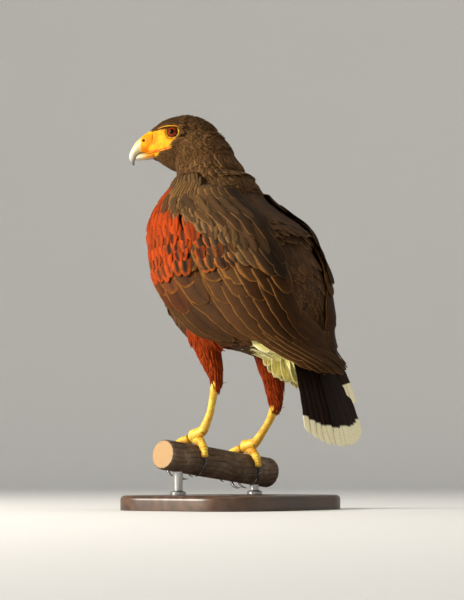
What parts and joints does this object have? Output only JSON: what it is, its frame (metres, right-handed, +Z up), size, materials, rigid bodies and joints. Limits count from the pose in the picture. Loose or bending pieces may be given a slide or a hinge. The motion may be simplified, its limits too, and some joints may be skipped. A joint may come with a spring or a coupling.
{
  "type": "harris hawk model",
  "caption": "Life-size still model of a perched hawk looking over its shoulder, on a cut branch over a flat display base.",
  "frame": {"origin": "centre of the base's flat underside", "axes": "+Z up, the bird's body faces -Y, its left side is +X, its head is turned to its left"},
  "size_m": [0.236, 0.2558, 0.437],
  "materials": {
    "plumage_dark": "dark olive brown feathers, dull, slightly silky",
    "plumage_wing": "brown feathers with buff and rufous edges",
    "plumage_tail": "blackish brown feathers with broad cream tips",
    "plumage_rufous": "rufous orange feathers, dull",
    "skin_yellow": "bare yellow skin and horny scutes, satin",
    "horn_pale": "ivory to blue grey horn, semi-gloss",
    "horn_dark": "black horn, semi-gloss",
    "eye": "reddish brown iris under a clear wet cornea",
    "bark": "rough flaky bark with pale sawn ends",
    "base_wood": "dark stained wood, satin",
    "steel": "brushed steel rod"
  },
  "bodies": {
    "root": {"cere": "skin_yellow", "claw_hind_left": "horn_dark", "claw_hind_right": "horn_dark", "claw_inner_left": "horn_dark", "claw_inner_right": "horn_dark", "claw_middle_left": "horn_dark", "claw_middle_right": "horn_dark", "claw_outer_left": "horn_dark", "claw_outer_right": "horn_dark", "eye_left": "eye", "eye_right": "eye", "foot_left": "skin_yellow", "foot_right": "skin_yellow", "head": "plumage_dark", "lower_bill": "horn_pale", "neck": "plumage_dark", "stand_base": "base_wood", "stand_perch": "bark", "stand_rod_left": "steel", "stand_rod_right": "steel", "tail": "plumage_tail", "tarsus_left": "skin_yellow", "tarsus_right": "skin_yellow", "thigh_left": "plumage_rufous", "thigh_right": "plumage_rufous", "torso": "plumage_dark", "upper_bill": "horn_pale", "wing_left": "plumage_wing", "wing_right": "plumage_wing"}
  },
  "joints": []
}
